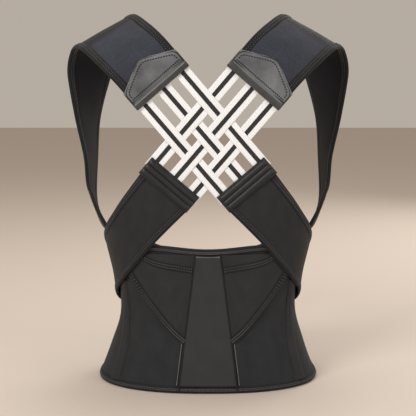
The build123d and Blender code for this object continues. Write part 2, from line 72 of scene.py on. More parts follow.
soft_light("key_light", (-1.2, -1.6, 1.5), 0.9, 33, (1, 0.98, 0.95))
soft_light("fill_light", (1.7, -1.3, 0.8), 1.2, 14, (0.97, 0.98, 1))
soft_light("top_light", (0.1, 0.5, 1.9), 1.2, 12, (1, 0.98, 0.95))
soft_light("rim_light", (1.1, 1.4, 0.9), 0.9, 9, (1, 0.97, 0.94))

world = bpy.data.worlds.new("studio")
world.use_nodes = True
world.node_tree.nodes["Background"].inputs["Color"].default_value = (0.62, 0.55, 0.48, 1)
world.node_tree.nodes["Background"].inputs["Strength"].default_value = 0.75
bpy.context.scene.world = world
bpy.context.scene.view_settings.view_transform = "Standard"


def new_piece(bm, name):
    """Turns a bmesh in millimetres into an object in metres, with every face shaded smooth."""
    bmesh.ops.transform(bm, matrix=Matrix.Scale(0.001, 4), verts=bm.verts)
    for face in bm.faces:
        face.smooth = True
    data = bpy.data.meshes.new(name)
    bm.to_mesh(data)
    bm.free()
    piece = bpy.data.objects.new(name, data)
    bpy.context.scene.collection.objects.link(piece)
    return piece


floor_mesh = bmesh.new()
bmesh.ops.create_grid(floor_mesh, x_segments=2, y_segments=2, size=6000)
floor = new_piece(floor_mesh, "studio_floor")
floor_finish = bpy.data.materials.new("studio_floor")
floor_finish.use_nodes = True
floor_finish.node_tree.nodes["Principled BSDF"].inputs["Base Color"].default_value = (0.64, 0.56, 0.49, 1)
floor_finish.node_tree.nodes["Principled BSDF"].inputs["Roughness"].default_value = 0.75
floor.data.materials.append(floor_finish)


# ---------------------------------------------------------------- belt back
# The back of the belt is a knitted cloth laminated to thin foam, cut to the waist and bound along both edges.
# It follows the torso's form: height, half width, half depth and fullness of the form at each level.
torso_levels = [
    (0, 162, 104, 2.3),
    (48, 143.5, 97, 2.3),
    (98, 129.5, 90, 2.3),
    (150, 132, 87, 2.3),
    (205, 143.5, 90, 2.4),
    (262, 151, 96, 2.9),
    (345, 155, 98, 3.4),
]


def form_at(height):
    """Half width, half depth and fullness of the torso's form, as a smooth curve through its levels."""
    last = len(torso_levels) - 2
    span = min(max(sum(1 for level in torso_levels[1:-1] if level[0] <= height), 0), last)
    rows = [torso_levels[min(max(span + k, 0), last + 1)] for k in (-1, 0, 1, 2)]
    share = (height - rows[1][0]) / (rows[2][0] - rows[1][0])
    near = [rows[k][1:] for k in range(4)]
    scale = [rows[2][0] - rows[1][0]] * 2
    before = rows[1][0] - rows[0][0] or scale[0]
    after = rows[3][0] - rows[2][0] or scale[0]
    result = []
    for a, b, c, d in zip(*near):
        slope_in = ((c - b) / scale[0] + (b - a) / before) / 2 * scale[0] if rows[0] is not rows[1] else c - b
        slope_out = ((c - b) / scale[0] + (d - c) / after) / 2 * scale[0] if rows[2] is not rows[3] else c - b
        s, t = share, 1 - share
        result.append(
            b * (1 + 2 * s) * t * t + slope_in * s * t * t + c * s * s * (3 - 2 * s) - slope_out * s * s * t
        )
    return result


def on_form(turn, height, lift, step=0):
    """A point at a turn round the torso, 0 at the back and 90 on the wearer's right, lifted off its form."""
    half_width, half_depth, fullness = form_at(height)
    across, along = sin(radians(turn)), -cos(radians(turn))
    depth = half_depth + lift + (step if along > 0 else 0)
    reach = (abs(across / (half_width + lift)) ** fullness + abs(along / depth) ** fullness) ** (-1 / fullness)
    return Vector((reach * across, reach * along, height))


def turn_at(x, height):
    """The turn at which the back of the form has this x."""
    half_width, half_depth, fullness = form_at(height)
    return degrees(atan2(x, half_depth * (1 - min(abs(x / half_width), 0.999) ** fullness) ** (1 / fullness)))


def on_back(x, height, lift):
    """A point of the back of the form, by its x."""
    return on_form(turn_at(x, height), height, lift)


def smooth_line(points, share):
    """A point part of the way along a smooth line through equally spaced points, each a list of numbers."""
    last = len(points) - 1
    place = min(max(share, 0), 1) * last
    span = min(int(place), last - 1)
    s = place - span
    a, b, c, d = (points[min(max(span + k, 0), last)] for k in (-1, 0, 1, 2))
    return [
        0.5 * (2 * q + (r - p) * s + (2 * p - 5 * q + 4 * r - t) * s**2 + (3 * q - p - 3 * r + t) * s**3)
        for p, q, r, t in zip(a, b, c, d)
    ]


def slab_section(width_steps, roundness=3):
    """Points round a flat cloth's section: across and through it, each from -1 to 1, with rounded edges."""
    top = [(-1 + 2 * i / width_steps, 1) for i in range(width_steps + 1)]
    points = []
    for across, through in top:
        points.append((across, through, "face"))
    for i in range(1, roundness):
        turn = pi / 2 - pi * i / roundness
        points.append((1, sin(turn), cos(turn)))
    for across, through in reversed(top):
        points.append((across, -through, "face"))
    for i in range(1, roundness):
        turn = -pi / 2 + pi * i / roundness
        points.append((-1, sin(turn), -cos(turn)))
    return points


def cloth_strip(surface, name, along_steps, width_steps, thickness):
    """A closed strip of cloth. surface(u, v) gives its middle point, its outward normal and its lengths in mm.

    u runs along it and v across it, both from 0 to 1, and its long edges are rounded.
    """
    section = slab_section(width_steps)
    around = len(section)
    bm = bmesh.new()
    uv = bm.loops.layers.uv.new("cloth")
    grid = bmesh.ops.create_grid(bm, x_segments=around, y_segments=along_steps, size=1)["verts"]
    bm.verts.ensure_lookup_table()
    lengths = {}
    for vertex in grid:
        i = round((vertex.co.x + 1) / 2 * around)
        j = round((vertex.co.y + 1) / 2 * along_steps)
        across, through, bulge = section[i % around]
        u, v = j / along_steps, (across + 1) / 2
        place, normal, sideways, along_mm, across_mm, swell = surface(u, v)
        edge = 0 if bulge == "face" else bulge * thickness / 2
        lengths[vertex.index] = (along_mm / 1000, (across_mm + edge) / 1000)
        vertex.co = place + normal * (through * (thickness / 2 + swell)) + sideways * edge
    for face in bm.faces:
        for loop in face.loops:
            loop[uv].uv = lengths[loop.vert.index]
    bmesh.ops.remove_doubles(bm, verts=bm.verts, dist=0.001)
    rims = [edge for edge in bm.edges if edge.is_boundary]
    bmesh.ops.holes_fill(bm, edges=rims, sides=0)
    bmesh.ops.triangulate(bm, faces=[face for face in bm.faces if len(face.verts) > 4])
    bmesh.ops.recalc_face_normals(bm, faces=bm.faces)
    return new_piece(bm, name)


def framed(point, u, v, reach_u=0.01, reach_v=0.01):
    """Place, outward normal and sideways direction of a surface at u and v, from its neighbours."""
    along = point(min(u + reach_u, 1), v) - point(max(u - reach_u, 0), v)
    across = point(u, min(v + reach_v, 1)) - point(u, max(v - reach_v, 0))
    normal = across.cross(along).normalized()
    place = point(u, v)
    if normal.dot(Vector((place.x, place.y, 0))) < 0:
        normal = -normal
    return place, normal, across.normalized()


def draped(point, name, length, width, steps, thickness, swell=lambda u, v: 0):
    """A strip of cloth whose middle follows point(u, v)."""

    def surface(u, v):
        place, normal, sideways = framed(point, u, v)
        return place, normal, sideways, u * length, v * width, swell(u, v)

    return cloth_strip(surface, name, steps[0], steps[1], thickness)


def belt_top(turn):
    """Height of the belt's top edge at a turn round the back."""
    x = on_form(turn, 200, 0).x
    return 204 + 4.8 * sin(min(abs(x) / 80, 1) * pi / 2) ** 2 - 8.5 * max(abs(x) - 80, 0) / 70


def preset(node, values):
    """Sets a node's named inputs."""
    for name, value in values.items():
        node.inputs[name].default_value = value


def new_material(name, colour, roughness, sheen=0.0):
    """A principled finish, returned with its nodes and links."""
    finish = bpy.data.materials.new(name)
    finish.use_nodes = True
    nodes, links = finish.node_tree.nodes, finish.node_tree.links
    shader = nodes["Principled BSDF"]
    values = {
        "Base Color": (*colour, 1),
        "Roughness": roughness,
        "Sheen Weight": sheen,
        "Sheen Roughness": 0.4,
        "Specular IOR Level": 0.3,
    }
    preset(shader, values)
    return finish, nodes, links, shader


def maths(operation, first, second=None):
    """A Math node on two inputs, each a socket or a number, in the tree that the sockets belong to."""
    tree = (second if isinstance(first, (int, float)) else first).id_data
    node = tree.nodes.new("ShaderNodeMath")
    node.operation = operation
    for socket, value in zip(node.inputs, (first, second)):
        if value is None:
            continue
        if isinstance(value, (int, float)):
            socket.default_value = value
        else:
            tree.links.new(value, socket)
    return node.outputs[0]


def knit_group():
    """The shared knit, from a position in metres: the height of small loops in rows, and their shade, a painted
    shade that darkens the hollows between loops, plus a random cloud of tone.
    """
    group = bpy.data.node_groups.new("knit", "ShaderNodeTree")
    group.interface.new_socket("Position", in_out="INPUT", socket_type="NodeSocketVector")
    group.interface.new_socket("Loop", in_out="INPUT", socket_type="NodeSocketFloat")
    group.interface.new_socket("Height", in_out="OUTPUT", socket_type="NodeSocketFloat")
    group.interface.new_socket("Shade", in_out="OUTPUT", socket_type="NodeSocketFloat")
    nodes, links = group.nodes, group.links
    start, end = nodes.new("NodeGroupInput"), nodes.new("NodeGroupOutput")
    split = nodes.new("ShaderNodeSeparateXYZ")
    links.new(start.outputs["Position"], split.inputs[0])
    turns = maths("DIVIDE", 2 * pi, start.outputs["Loop"])
    along = maths("MULTIPLY", split.outputs[0], turns)
    across = maths("MULTIPLY", split.outputs[1], turns)
    half_turns = maths("MULTIPLY", across, 0.5)
    zigzag = maths("ABSOLUTE", maths("SINE", half_turns))
    swing = maths("MULTIPLY", zigzag, 1.6)
    loops = maths("SINE", maths("ADD", along, swing))
    wales = maths("SINE", across)
    raised_loops, raised_wales = maths("ADD", loops, 1), maths("ADD", wales, 1.2)
    both = maths("MULTIPLY", raised_loops, raised_wales)
    height = maths("MULTIPLY", both, 0.25)
    links.new(height, end.inputs["Height"])
    cloud = nodes.new("ShaderNodeTexNoise")
    preset(cloud, {"Scale": 38, "Detail": 5})
    links.new(start.outputs["Position"], cloud.inputs["Vector"])
    # painted shade: the colour follows the loops' height and is darker in their hollows; the noise cloud adds
    # random tone
    shade = maths("ADD", maths("MULTIPLY", height, 0.35), cloud.outputs[0])
    links.new(shade, end.inputs["Shade"])
    return group


knit = knit_group()


def cloth_finish(name, colour, loop, contrast=0.35, relief=0.25, roughness=0.86, sheen=0.05, tint=(1, 1, 1)):
    """A knitted or woven cloth whose loops follow the piece's own UV map, its colour painted darker in the hollows
    between loops as painted shade.
    """
    finish, nodes, links, shader = new_material(name, colour, roughness, sheen)
    uv = nodes.new("ShaderNodeUVMap")
    uv.uv_map = "cloth"
    cloth = nodes.new("ShaderNodeGroup")
    cloth.node_tree = knit
    preset(cloth, {"Loop": loop / 1000})
    links.new(uv.outputs[0], cloth.inputs["Position"])
    # the ramp turns the knit's shade into colour: painted shade in the hollows, lighter on the loops' tops
    ramp = nodes.new("ShaderNodeValToRGB")
    ramp.color_ramp.elements[0].position = 0.25
    ramp.color_ramp.elements[1].position = 1.0
    ramp.color_ramp.elements[0].color = (*[c * (1 - contrast) for c in colour], 1)
    ramp.color_ramp.elements[1].color = (*[c * (1 + contrast) * t for c, t in zip(colour, tint)], 1)
    links.new(cloth.outputs["Shade"], ramp.inputs[0])
    links.new(ramp.outputs[0], shader.inputs["Base Color"])
    bump = nodes.new("ShaderNodeBump")
    preset(bump, {"Strength": relief, "Distance": loop / 2500})
    links.new(cloth.outputs["Height"], bump.inputs["Height"])
    links.new(bump.outputs[0], shader.inputs["Normal"])
    return finish


def finished(piece, body, slot, finish, *nodes):
    """Gives a piece its finish and its body, and hides the nodes that it stands for. slot is not used."""
    piece.data.materials.append(finish)
    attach(piece, body)
    if nodes:
        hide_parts(*nodes)
    return piece


belt_cloth = cloth_finish("belt_knit", (0.0185, 0.0200, 0.0228), 1.6, contrast=0.3, relief=0.35)
side_turn = 97.5  # the belt's back ends at the side seam, where the wings start


def belt_back_point(u, v):
    """The belt's wall, which puckers a little between its seams."""
    turn = -side_turn + 2 * side_turn * u
    height = 3 + (belt_top(turn) - 6) * v
    pucker = 0.5 * sin(height / 17 + turn / 9) * sin(turn / 6.5)
    return on_form(turn, height, -2 + pucker)


belt_length, wall_thickness = 620, 4
belt_back = draped(belt_back_point, "belt_back", belt_length, 200, (150, 50), wall_thickness)
finished(belt_back, "back", "belt_cloth", belt_cloth, "belt_back")

# ---------------------------------------------------------------- belt bindings
# A woven tape is folded over each edge of the belt and sewn through with two rows of short cross stitches.
binding_tape = cloth_finish("binding_tape", (0.0115, 0.012, 0.0135), 1.1, contrast=0.4, relief=0.3)
thread = cloth_finish("grey_thread", (0.11, 0.112, 0.118), 0.5, contrast=0.2, relief=0.2, roughness=0.5)


def stitch_row(name, point, count, stitch, slant=0.0, sway=0.0, thickness=0.55):
    """A row of stitches along point(u), which gives place, outward normal and sideways direction.

    Each stitch is a low rounded bead of thread. slant turns it across the row, and sway, when it isn't 0, makes
    every other stitch lean the other way.
    """
    bm = bmesh.new()
    uv = bm.loops.layers.uv.new("cloth")
    for i in range(count):
        place, normal, sideways = point((i + 0.5) / count)
        along = sideways.cross(normal).normalized()
        flip = 1 if i % 2 else -1
        lean = radians(slant) * (flip if sway else 1)
        forward = (along * cos(lean) + sideways * sin(lean)).normalized()
        bead = bmesh.ops.create_icosphere(bm, subdivisions=1, radius=1)["verts"]
        across = normal.cross(forward)
        frame_matrix = Matrix((forward, across, normal)).transposed().to_4x4()
        size = Matrix.Diagonal((stitch / 2, thickness / 2, thickness / 2.4, 1))
        shift = Matrix.Translation(place + normal * thickness * 0.25)
        bmesh.ops.transform(bm, matrix=shift @ frame_matrix @ size, verts=bead)
    for face in bm.faces:
        for loop in face.loops:
            loop[uv].uv = (loop.vert.co.x / 1000, loop.vert.co.z / 1000)
    return new_piece(bm, name)


def joined(pieces, name):
    """One object from several pieces of the same finish."""
    bm = bmesh.new()
    for piece in pieces:
        bm.from_mesh(piece.data)
        bpy.data.meshes.remove(piece.data)
    data = bpy.data.meshes.new(name)
    bm.to_mesh(data)
    bm.free()
    for polygon in data.polygons:
        polygon.use_smooth = True
    result = bpy.data.objects.new(name, data)
    bpy.context.scene.collection.objects.link(result)
    return result


stitch_pitch, stitch_slant = 3.1, 62  # between the stitches of a row, and how far each turns across it
tape_height, tape_thickness = 8.4, 6.2  # the tape folded round the belt's and the wings' edges


def zigzag_rows(name, point, width, length, rows=2, thickness=0.7):
    """Rows of short, well spaced cross stitches on a tape. point(u, v) is the tape's outer face."""
    strips = []
    for row in range(rows):
        low, high = row / rows * 0.8 + 0.1, (row + 1) / rows * 0.8 + 0.1
        step = width * (high - low)
        count = int(length / stitch_pitch)

        def along_row(u, middle=(low + high) / 2):
            return framed(point, u, middle, 0.004, 0.1)

        stitch = step * 0.62
        strips.append(stitch_row(f"{name}_{row}", along_row, count, stitch, stitch_slant, 1, thickness))
    return joined(strips, name)


def bottom_tape(lift, low=3.4, high=8.4):
    """The belt's bottom binding at a lift, from one side seam to the other."""
    return lambda u, v: on_form(-side_turn + 2 * side_turn * u, low + (high - low) * v, lift)


def top_tape(lift, low=8.2, high=3.2):
    """The belt's top binding at a lift, below its scalloped edge."""

    def point(u, v):
        turn = -side_turn + 2 * side_turn * u
        return on_form(turn, belt_top(turn) - low + (low - high) * v, lift)

    return point


for name, tape in (("bottom_binding", bottom_tape), ("top_binding", top_tape)):
    binding = draped(tape(-2), name, belt_length, tape_height, (150, 6), tape_thickness)
    finished(binding, "back", "binding_tape", binding_tape, name)
    rows = zigzag_rows(name + "_stitches", tape(1.2), tape_height, belt_length, rows=2, thickness=1.15)
    finished(rows, "back", "binding_tape", thread)

# ---------------------------------------------------------------- centre panel
# A smooth close-knit panel over the spine, wider at the foot, holds a spring stay under each slanted edge.
# A raised cord of overlock thread runs down both edges, and a painted highlight, a pale line, marks the panel's
# cut edge beside each cord near the foot.
panel_bottom, panel_top = 11, 193
panel_half_bottom, panel_half_top = 39.5, 17


def panel_half(height):
    """Half the panel's width at a height."""
    share = (height - panel_bottom) / (panel_top - panel_bottom)
    return panel_half_bottom + (panel_half_top - panel_half_bottom) * share


def panel_point(u, v):
    """The panel lies over its stays, so that it stands out a little near both edges."""
    height = panel_bottom + (panel_top - panel_bottom) * u
    share = 2 * v - 1
    ridge = 1.1 * max(0, 1 - abs(abs(share) - 0.72) / 0.26) ** 0.6 if 0.46 < abs(share) < 0.98 else 0
    return on_back(share * panel_half(height), height, 1.7 + 0.5 * ridge)


panel_colour = (0.0285, 0.0295, 0.032)
panel_cloth = cloth_finish("panel_knit", panel_colour, 0.9, contrast=0.18, relief=0.25, roughness=0.8)
centre_panel = draped(panel_point, "centre_panel", 182, 57, (60, 40), 2.6)
finished(centre_panel, "back", "panel_cloth", panel_cloth, "centre_panel", "centre_stay_right", "centre_stay_left")
cords = []
for side in (-1, 1):

    def panel_edge(u, side=side):
        """The line of the cord on the panel's edge."""
        height = panel_bottom - 6 + (panel_top - panel_bottom + 10) * u

        def near(a, b):
            z = panel_bottom - 6 + (panel_top - panel_bottom + 10) * a
            return on_back(side * panel_half(z) + (b - 0.5) * 2, z, 2.6)

        return framed(near, u, 0.5, 0.01, 0.3)

    cords.append(stitch_row(f"cord_{side}", panel_edge, 96, 3.6, slant=38 * side, thickness=2.1))
panel_cords = joined(cords, "centre_panel_cords")
dark_thread = cloth_finish("cord_thread", (0.010, 0.010, 0.0115), 0.5, contrast=0.3, relief=0.2, roughness=0.75)
finished(panel_cords, "back", "binding_tape", dark_thread)

# a pale line runs along the panel's top edge, and a painted highlight, a pale line of beads, runs along its cut
# edge beside each cord near the foot
pale_edge_line = cloth_finish("pale_edge_lines", (0.16, 0.16, 0.165), 0.6, contrast=0.2, relief=0.2, roughness=0.5)


def pale_line(name, points, count, lift=3.1, thickness=1.3):
    """A fine row of pale beads through points of the back, each an x and a height."""

    def near(a, b):
        x, z = smooth_line(points, a)
        return on_back(x + (b - 0.5) * 2, z + (b - 0.5) * 0.6, lift)

    return stitch_row(name, lambda u: framed(near, u, 0.5, 0.01, 0.3), count, 3.0, thickness=thickness)


lines = [pale_line("panel_head", [(-16, 193.5), (0, 193), (16, 193.5)], 18)]
for side in (-1, 1):
    # painted highlight: pale beads stand in for the light caught by the panel's cut edge
    foot_line = [(side * (panel_half(z) + 4.4), z) for z in (12, 32, 52, 70)]
    lines.append(pale_line(f"cut_edge_highlight_{side}", foot_line, 34, lift=0.5))
finished(joined(lines, "centre_panel_pale_lines"), "back", "panel_cloth", pale_edge_line)

# ---------------------------------------------------------------- flaps
# A three-cornered overlay on each side stiffens the belt. Its hanging edge is bound, and a tape crosses its
# upper part. Both are sewn through with cross stitches.
flap_cloth = cloth_finish("flap_knit", (0.0215, 0.0225, 0.0245), 1.6, contrast=0.3, relief=0.35)
flap_hem = [(113.5, 167), (94, 138), (76, 115), (60.5, 96), (46.5, 81.5), (33.5, 71)]
flap_seam_line = [(94, 193), (78, 184.5), (60, 180), (42, 177.5), (panel_half(172) + 1.5, 174)]


def hem_point(share):
    """A point of the flap's hanging edge, from its outer corner to its foot beside the panel."""
    return smooth_line(flap_hem, share)


def flap_point(side):
    """The flap between its hanging edge, v = 0, and the line down the panel and along the top, v = 1."""

    def point(u, v):
        low_x, low_z = hem_point(u)
        corner = 0.42
        if u < corner:
            high_x, high_z = 108 - (108 - panel_half_top) * (u / corner) ** 1.1, 195
        else:
            high_z = 195 - (195 - 74) * (u - corner) / (1 - corner)
            high_x = panel_half(high_z) + 0.6
        x, z = low_x + (high_x - low_x) * v, low_z + (high_z - low_z) * v
        ripple = 0.35 * sin(x / 11 + z / 19) * sin(z / 13 - x / 23) * min(1, 4 * v, 4 * (1 - v))
        return on_back(side * x, z, 1.3 + ripple)

    return point


def hem_tape(side, lift, inner=0, outer=8):
    """The tape along the flap's hanging edge."""

    def point(u, v):
        x, z = hem_point(u)
        ahead, behind = hem_point(min(u + 0.02, 1)), hem_point(max(u - 0.02, 0))
        run = Vector((ahead[0] - behind[0], ahead[1] - behind[1], 0)).normalized()
        inward = Vector((run.y, -run.x, 0))
        if inward.y < 0:
            inward = -inward
        offset = inner + (outer - inner) * v - 1
        return on_back(side * (x + inward.x * offset), z + inward.y * offset, lift)

    return point


def flap_seam(side, lift):
    """The tape that crosses the flap, from the lower strap to the panel."""

    def point(u, v):
        x, z = smooth_line(flap_seam_line, u)
        return on_back(side * x, z - 4.6 + 9.2 * v, lift)

    return point


for side, name in ((1, "right"), (-1, "left")):
    flap = draped(flap_point(side), f"flap_{name}", 150, 90, (46, 30), 2)
    finished(flap, "back", "belt_cloth", flap_cloth, f"flap_{name}")
    tape = draped(hem_tape(side, 1.9), f"flap_edge_tape_{name}", 140, 8, (60, 6), 2.6)
    finished(tape, "back", "binding_tape", binding_tape, f"flap_edge_tape_{name}")
    rows = zigzag_rows(f"flap_edge_stitches_{name}", hem_tape(side, 3.2), 8, 140, rows=2, thickness=1.15)
    finished(rows, "back", "binding_tape", thread)
    seam = draped(flap_seam(side, 2.7), f"flap_seam_tape_{name}", 80, 9, (40, 5), 0.9)
    finished(seam, "back", "binding_tape", binding_tape, f"flap_seam_tape_{name}")
    rows = zigzag_rows(f"flap_seam_stitches_{name}", flap_seam(side, 3.25), 9.2, 80, rows=2, thickness=1.15)
    finished(rows, "back", "binding_tape", thread)

# ---------------------------------------------------------------- side boning
# A narrow channel of the belt's cloth down each flank holds a flat spring stay between two rows of stitches.
boning_line = [(133, 10), (122.5, 50), (118, 84), (117.5, 118), (121.5, 152)]
for side, name in ((1, "right"), (-1, "left")):

    def channel(u, v, side=side, lift=1.0, width=12.5):
        """The channel's cover, raised over the stay."""
        x, z = smooth_line(boning_line, u)
        share = 2 * v - 1
        turn = side * turn_at(x, z) + side * degrees(share * width / 2 / 118)
        return on_form(turn, z, lift + 1.5 * (1 - share**2) ** 0.5)

    cover = draped(channel, f"side_boning_cover_{name}", 142, 12, (50, 12), 1.6)
    finished(cover, "back", "belt_cloth", flap_cloth, f"side_boning_cover_{name}", f"side_stay_{name}")
    lines = []
    for edge in (0, 1):

        def beside(u, channel=channel, edge=edge):
            return framed(lambda a, b: channel(a, b, lift=0.6, width=14), u, edge)

        lines.append(stitch_row(f"boning_row_{edge}", beside, 52, 2.0, thickness=0.8))
    rows = joined(lines, f"side_boning_stitches_{name}")
    finished(rows, "back", "binding_tape", thread)


# ---------------------------------------------------------------- lattice of elastics
# Six woven elastics, white with a charcoal stripe down the middle, cross over and under each other and join the
# upper tabs to the lower casings.
run_x, run_z = cos(radians(49.3)), sin(radians(49.3))
lattice_height, lattice_plane = 357, -101
band_width, band_pitch = 20, 33.5
lattice_rise, lattice_drop, tuck = 92.5, 69.5, 11


def band_finish():
    """White ribbed elastic whose stripe follows the piece's UV map, across its width. Its white is painted grey in
    the grooves between the ribs, a painted shade.
    """
    finish, nodes, links, shader = new_material("striped_elastic", (0.8, 0.79, 0.77), 0.7, 0.2)
    uv = nodes.new("ShaderNodeUVMap")
    uv.uv_map = "cloth"
    split = nodes.new("ShaderNodeSeparateXYZ")
    links.new(uv.outputs[0], split.inputs[0])
    from_middle = maths("SUBTRACT", split.outputs[1], band_width / 2000)
    off_middle = maths("ABSOLUTE", from_middle)
    ribs = maths("SINE", maths("MULTIPLY", split.outputs[1], 2 * pi / 0.00165))
    picks = maths("SINE", maths("MULTIPLY", split.outputs[0], 2 * pi / 0.0012))
    fray = maths("MULTIPLY", picks, 0.00018)
    stripe = maths("LESS_THAN", maths("ADD", off_middle, fray), 0.0031)
    # painted shade: the white turns grey in the grooves between the ribs
    shade = maths("ADD", maths("MULTIPLY", ribs, 0.28), 0.62)
    white = nodes.new("ShaderNodeValToRGB")
    white.color_ramp.elements[0].color = (0.68, 0.69, 0.71, 1)
    white.color_ramp.elements[1].color = (0.88, 0.90, 0.93, 1)
    links.new(shade, white.inputs[0])
    colour = nodes.new("ShaderNodeMix")
    colour.data_type = "RGBA"
    links.new(stripe, colour.inputs[0])
    links.new(white.outputs[0], colour.inputs[6])
    colour.inputs[7].default_value = (0.022, 0.022, 0.024, 1)
    links.new(colour.outputs[2], shader.inputs["Base Color"])
    bump = nodes.new("ShaderNodeBump")
    preset(bump, {"Strength": 0.2, "Distance": 0.0001})
    relief = maths("ADD", ribs, maths("MULTIPLY", picks, 0.5))
    links.new(relief, bump.inputs["Height"])
    links.new(bump.outputs[0], shader.inputs["Normal"])
    return finish


striped_elastic = band_finish()
start_s, end_s = -lattice_rise - tuck, lattice_drop + tuck


def band_level(side, row, s):
    """How far an elastic stands in front of the lattice's plane, over or under each of the three it crosses."""
    knots = [(start_s, 0)]
    for crossed in (1, 0, -1):
        place = -((run_z**2 - run_x**2) * row * band_pitch + crossed * band_pitch) / (2 * run_x * run_z)
        over = (row + crossed) % 2 == (0 if side > 0 else 1)
        knots.append((place, 0.95 if over else -0.95))
    knots.append((end_s, 0))
    for (a, low), (b, high) in zip(knots, knots[1:]):
        if s <= b:
            share = (s - a) / (b - a)
            return low + (high - low) * share * share * (3 - 2 * share)
    return 0


def band_point(side, row):
    """The middle surface of an elastic."""
    normal = Vector((side * run_z, 0, run_x))
    down = Vector((side * run_x, 0, -run_z))
    middle = Vector((0, lattice_plane, lattice_height)) + normal * (row * band_pitch)

    def point(u, v):
        s = start_s + (end_s - start_s) * u
        return middle + down * s + normal * (band_width * (v - 0.5)) + Vector((0, -band_level(side, row, s), 0))

    return point


for side, run, shoulder in ((1, "down_right", "left"), (-1, "down_left", "right")):
    for row, place in ((1, "upper"), (0, "middle"), (-1, "lower")):
        name = f"elastic_{run}_{place}"
        elastic = draped(band_point(side, row), name, end_s - start_s, band_width, (90, 12), 1.2)
        finished(elastic, "back", "lattice_elastic", striped_elastic)
        elastic.parent = None
        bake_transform(elastic)
        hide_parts(name)

# ---------------------------------------------------------------- shoulder loops
# Each loop is a padded strap of knitted mesh with a bound edge. It runs from its tab over the shoulder and down
# the front, and narrows into a stretch part that is sewn to the belt under the arm.
tab_width, strap_width = 90, 86
shoulder_edge = 8.5


def arm_point(up, across, depth=0):
    """A point of the right arm of the lattice: up along it, across it outwards, and in depth."""
    return Vector(
        (run_x * up + run_z * across, lattice_plane + depth, lattice_height + run_z * up - run_x * across)
    )


loop_stations = [
    (*arm_point(lattice_rise + 14, 0), run_z, 0, -run_x, strap_width),
    (*arm_point(lattice_rise + 50, 0), run_z, 0, -run_x, strap_width),
    (116, -80, 486, 0.74, -0.16, -0.655, strap_width),
    (138, -42, 502, 0.82, -0.16, -0.55, strap_width),
    (152, 0, 502.5, 0.86, -0.2, -0.47, strap_width),
    (164, 36, 486, 0.8, -0.52, -0.3, strap_width),
    (176, 60, 445, 0.62, -0.78, 0.05, strap_width),
    (181.5, 67, 380, 0.3, -0.95, 0.04, strap_width),
    (178, 62, 318, 0.1, -0.99, 0.12, strap_width - 4),
    (176, 48, 272, 0.05, -0.93, 0.35, strap_width - 14),
    (168, 28, 249, 0.02, -0.9, 0.43, strap_width - 22),
    (157, 12, 230, 0, -0.92, 0.38, strap_width - 30),
    (143.6, 4, 213, -0.02, -0.97, 0.2, strap_width - 36),
]


def loop_place(u):
    """Centre, outward normal, direction across and width of the right loop at a share of its stations."""
    row = smooth_line(loop_stations, u)
    ahead, behind = smooth_line(loop_stations, u + 0.004), smooth_line(loop_stations, u - 0.004)
    travel = (Vector(ahead[:3]) - Vector(behind[:3])).normalized()
    across = Vector(row[3:6])
    across = (across - travel * across.dot(travel)).normalized()
    return Vector(row[:3]), across.cross(travel).normalized(), across, row[6]


loop_lengths = [0]
loop_steps = 120
for i in range(loop_steps):
    here, there = loop_place(i / loop_steps)[0], loop_place((i + 1) / loop_steps)[0]
    loop_lengths.append(loop_lengths[-1] + (there - here).length)
loop_length = loop_lengths[-1]


def even_share(u):
    """The share of the stations that lies at a share u of the loop's length."""
    target = u * loop_length
    i = max(k for k in range(loop_steps) if loop_lengths[k] <= target)
    return (i + (target - loop_lengths[i]) / (loop_lengths[i + 1] - loop_lengths[i])) / loop_steps


def loop_surface(side, low, high, lift=0.0, crown=0.0, start=0.0, end=1.0):
    """A strip of a loop between two shares of its width. side is 1 on the wearer's right and -1 on the left."""

    def surface(u, v):
        place, normal, across, width = loop_place(even_share(start + (end - start) * u))
        inset = low if low >= 0 else width + low
        reach = high if high > 0 else width + high
        offset = inset + (reach - inset) * v - width / 2
        wave = 0.5 * sin(u * loop_length / 21) * sin(v * 5 + u * 17) * crown
        spot = place + across * offset + normal * (lift + wave)
        turned = Vector((side, 1, 1))
        swell = crown * (1 - (2 * v - 1) ** 4) ** 0.5
        return spot * turned, normal * turned, across * turned, u * loop_length * (end - start), offset, swell

    return surface


def loop_rows(name, side, low, high, thickness=0.8):
    """Two rows of cross stitches on each face of a loop's binding."""
    strips = []
    for face in (1, -1):
        flat = loop_surface(side, low, high, lift=face * 2.7)
        for row in range(2):
            middle = 0.3 + 0.4 * row
            step = shoulder_edge * 0.25
            count = int(loop_length / stitch_pitch)

            def along_row(u, middle=middle, flat=flat, face=face):
                place, normal, sideways, *_ = flat(u, middle)
                return place, normal * face, sideways

            row_name = f"{name}_{face}_{row}"
            strips.append(stitch_row(row_name, along_row, count, step, stitch_slant, 1, thickness))
    return joined(strips, name)


ridge_y, ridge_half = -0.010, 0.042  # a black band over the shoulder, along the object's Y: partly the strap's black cloth where the mesh ends, partly painted shade where the strap turns over the shoulder
